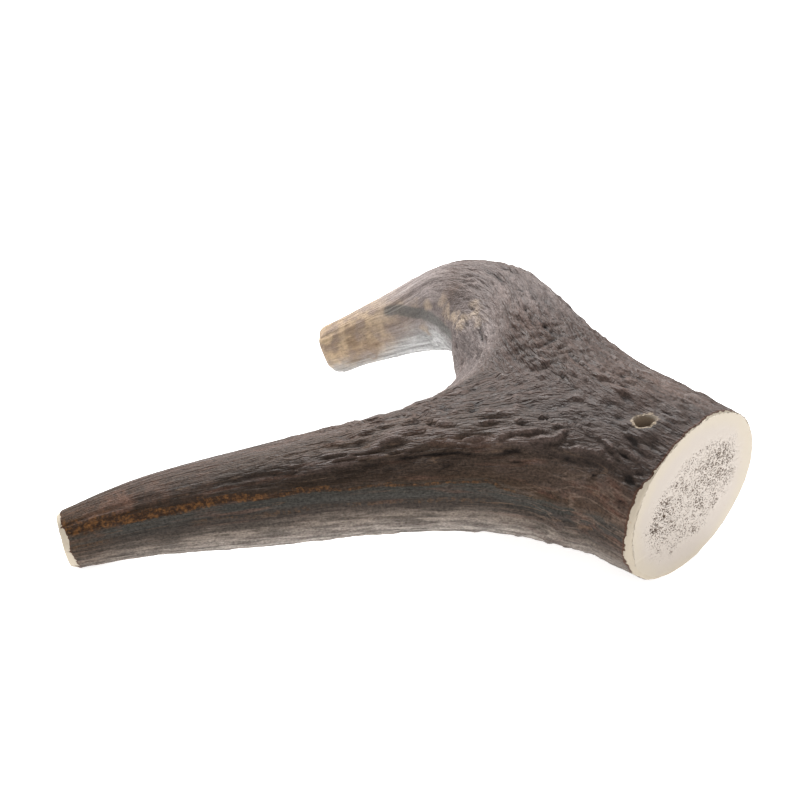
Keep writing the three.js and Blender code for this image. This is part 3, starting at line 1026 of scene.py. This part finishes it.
# the nearly white underside is partly its own colour and partly painted floor-bounce light
chalk_and_bounce = blend(ramp_up(lines, 0.36, 0.64), DARK_CHALK_AND_BOUNCE, LIGHT_CHALK_AND_BOUNCE)
colour = blend(times(below_short_socket, 0.88), colour, chalk_and_bounce)
ragged_cream = times(cream_socket, ramp_up(ragged, 0.5, 0.85, 0.25, 0.95))
colour = blend(ragged_cream, colour, CREAM_FLECK)
colour = blend(times(brown_socket, ragged_patch), colour, BROWN_PATCH)
ragged_grey = ramp_up(plus(grey_socket, flecks), 0.6, 1.4, 0.15, 0.72)
colour = blend(times(grey_socket, ragged_grey), colour, GREY_STAIN)

# crests are paler, partly polish and partly a painted highlight; the deepest hollows are
# darkened with painted shade; and all of it is grainy
crest = ramp_up(relief_socket, -0.1, 0.5, 0.0, 0.7)
colour = blend(times(crest, less(1.0, paleness_socket)), colour, CREST_POLISH_AND_HIGHLIGHT)
# painted shade: the deepest hollows are darkened towards near black
colour = blend(ramp_up(relief_socket, -0.3, -0.95, 0.0, 0.8), colour, PAINTED_HOLLOW_SHADE)
grainy = plus(times(fine, 0.5), times(speckle, 0.7))
shade = ramp_up(grainy, 0.4, 0.8, 0.55, 1.5, "LINEAR")
evened = times(less(1.0, shade), times(paleness_socket, 0.6))
colour = shaded_by(colour, plus(shade, evened))

# bone shows where the bark is sanded through, with a rusty edge, and round the drilled hole
ragged_edge = plus(sanded_socket, swing(mottle, 0.8))
ragged_edge = plus(ragged_edge, swing(fine, 0.35))
colour = blend(times(ramp_up(ragged_edge, -0.9, -0.1), 0.6), colour, RUSTY_EDGE)
chip_edge = plus(from_hole_socket, swing(flecks, 3.2))
chipped = ramp_up(chip_edge, HOLE_RADIUS + 1.0, HOLE_RADIUS + 0.1, 0.0, 0.8)
colour = blend(chipped, colour, CHIPPED_BONE)
is_bone = ramp_up(ragged_edge, 0.03, 0.14)
colour = blend(is_bone, colour, bone_in(0.0, 0.0, rim_socket).outputs["Color"])
tree.links.new(colour, shader.inputs["Base Color"])

shader.inputs["Specular IOR Level"].default_value = 0.15
roughness = plus(ramp_up(streaks, 0.3, 0.7, 0.5, 0.66), times(crest, -0.16))
tree.links.new(roughness, shader.inputs["Roughness"])
bump_height = plus(times(fine, 0.4), times(streaks, 0.7))
bump_height = plus(bump_height, times(speckle, 0.3))
small_ridges = times(off(grain(0.2, 0.8, 2.0), 0.5), -5.0)
small_ridges = times(small_ridges, ramp_up(rugged_socket, 0.0, 0.8, 0.25, 0.7))
bump_height = times(plus(bump_height, small_ridges), less(1.0, is_bone))
bump = node("ShaderNodeBump", {"Height": bump_height, "Distance": 0.00045, "Strength": 0.9})
tree.links.new(bump.outputs[0], shader.inputs["Normal"])

bone_finish, tree, shader = new_finish("sawn bone")
bone = bone_in(*marked("bone"))
tree.links.new(bone.outputs["Color"], shader.inputs["Base Color"])
tree.links.new(bone.outputs["Roughness"], shader.inputs["Roughness"])
bump = node("ShaderNodeBump", {"Height": bone.outputs["Height"], "Distance": 0.0002, "Strength": 0.8})
tree.links.new(bump.outputs[0], shader.inputs["Normal"])

bark.materials.append(bark_finish)
bark.materials.append(bone_finish)


# ---- The antler: drilled hole ----------------------------------------------------------------
# A twist drill went straight down through the beam. Its rim is chipped down to pale bone.

HOLE_SIDES = 72
# height of each ring of the drill, how far it is let out, and how unevenly
HOLE_RINGS = [
    (-4, 0.9, 0.3),
    (2.5, 0.9, 0.3),
    (4.5, 0.0, 0.04),
    (36.9, 0.0, 0.04),
    (37.9, 0.0, 0.08),
    (38.6, 0.0, 0.12),
    (39.3, 0.0, 0.15),
    (41.5, 0.2, 0.4),
]
DRILLED_BONE, DRILLED_SHADE = (0.28, 0.22, 0.165), (0.12, 0.088, 0.062)


def drill_ring(height, wider, uneven):
    ring_places = []
    for k in range(HOLE_SIDES):
        angle = 2 * math.pi * k / HOLE_SIDES
        away = Vector((math.cos(angle), math.sin(angle), 0))
        radius = HOLE_RADIUS + wider + uneven * noise.noise(away * 2.4 + Vector((0, 0, height / 3)))
        radius += 0.8 * uneven * noise.noise(away * 6 + Vector((0, 0, height)))
        radius += 0.5 * uneven * noise.noise(away * 15 + Vector((0, 0, 2 * height)))
        ring_places.append((Vector((HOLE_X, HOLE_Y, height)) + away * radius) * MM)
    return ring_places


boring = bmesh.new()
first_ring = list(bmesh.ops.create_circle(boring, segments=HOLE_SIDES, radius=1)["verts"])
for vertex, place in zip(first_ring, drill_ring(*HOLE_RINGS[0])):
    vertex.co = place
ring = first_ring
for hole_ring in HOLE_RINGS[1:]:
    ring = grow(boring, ring, drill_ring(*hole_ring))
for end in (first_ring, ring):
    bmesh.ops.contextual_create(boring, geom=end)
bmesh.ops.recalc_face_normals(boring, faces=boring.faces)
drill_mesh = bpy.data.meshes.new("drill")
boring.to_mesh(drill_mesh)
boring.free()

# the wall is pale near the mouth, where the drill broke out, and darker the deeper it goes,
# where painted shade stands in for the shadow inside the hole
drilled_finish, tree, shader = new_finish("drilled bone")
where = node("ShaderNodeTexCoord").outputs["Object"]
height = node("ShaderNodeSeparateXYZ", {0: where}).outputs[2]
dusty = cloud(where, 900, 3).outputs[0]
below_the_mouth = ramp_up(plus(height, times(dusty, 0.0012)), 0.0392, 0.0378)
colour = blend(below_the_mouth, bone_in(0.0, 0.0, 3.0).outputs["Color"], DRILLED_BONE)
# painted shade: the wall is darkened deeper down the hole
colour = blend(ramp_up(height, 0.0375, 0.031), colour, DRILLED_SHADE)
tree.links.new(colour, shader.inputs["Base Color"])
shader.inputs["Roughness"].default_value = 0.7
bump = node("ShaderNodeBump", {"Height": dusty, "Distance": 0.0003, "Strength": 0.7})
tree.links.new(bump.outputs[0], shader.inputs["Normal"])
drill_mesh.materials.append(drilled_finish)

drill = bpy.data.objects.new("drill", drill_mesh)
bpy.context.scene.collection.objects.link(drill)
bored = antler.modifiers.new("drilled hole", "BOOLEAN")
bored.operation = "DIFFERENCE"
bored.solver = "EXACT"
bored.object = drill
bored.material_mode = "TRANSFER"
depsgraph = bpy.context.evaluated_depsgraph_get()
depsgraph.update()
finished = bpy.data.meshes.new_from_object(antler.evaluated_get(depsgraph))
antler.modifiers.remove(bored)
antler.data = finished
bpy.data.objects.remove(drill)
bpy.data.meshes.remove(drill_mesh)
bpy.data.meshes.remove(bark)

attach(antler, "root")
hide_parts("beam", "long_tine", "short_tine")


# ---- Floor, light and camera -----------------------------------------------------------------
# The antler lies on a plain white surface under large soft lights, as on a studio table.

bpy.ops.mesh.primitive_plane_add(size=6)
floor = bpy.context.object
floor.name = "floor"
floor_paint, tree, shader = new_finish("white floor")
shader.inputs["Base Color"].default_value = (0.9, 0.9, 0.9, 1)
shader.inputs["Roughness"].default_value = 0.6
shader.inputs["Emission Color"].default_value = (1, 1, 1, 1)
shader.inputs["Emission Strength"].default_value = 0.75
floor.data.materials.append(floor_paint)

world = bpy.data.worlds.new("studio")
bpy.context.scene.world = world
world.use_nodes = True
surroundings = world.node_tree.nodes["Background"]
surroundings.inputs["Color"].default_value = (1, 1, 1, 1)
surroundings.inputs["Strength"].default_value = 0.65

# name, place and size in metres, aim, power in watts
SOFTBOXES = [
    ("softbox above and behind", (-0.15, 1.0, 0.85), (0.9, 0.5), (0.0, 0.0, 0.0), 33.0),
    ("softbox on the right", (1.0, -0.9, 0.7), (0.9, 0.9), (0.0, 0.0, 0.0), 2.5),
]
for name, place, size, aim, power in SOFTBOXES:
    softbox_data = bpy.data.lights.new(name, "AREA")
    softbox_data.shape = "RECTANGLE"
    softbox_data.size, softbox_data.size_y = size
    softbox_data.energy = power
    softbox = bpy.data.objects.new(name, softbox_data)
    softbox.location = place
    softbox.rotation_euler = (Vector(aim) - Vector(place)).to_track_quat("-Z", "Y").to_euler()
    bpy.context.scene.collection.objects.link(softbox)
bpy.context.scene.view_settings.view_transform = "Standard"

CAMERA_AIM = Vector((-1.4, 3, 20.1)) * MM
CAMERA_ELEVATION = math.radians(32)
CAMERA_DISTANCE = 0.6
CAMERA_LENS_MM = 103.5
CAMERA_SENSOR_MM = 36
camera_data = bpy.data.cameras.new("camera")
camera_data.lens = CAMERA_LENS_MM
camera_data.sensor_width = CAMERA_SENSOR_MM
camera = bpy.data.objects.new("camera", camera_data)
bpy.context.scene.collection.objects.link(camera)
sight = Vector((0, math.cos(CAMERA_ELEVATION), -math.sin(CAMERA_ELEVATION)))
camera.location = CAMERA_AIM - sight * CAMERA_DISTANCE
camera.rotation_euler = sight.to_track_quat("-Z", "Y").to_euler()
bpy.context.scene.camera = camera
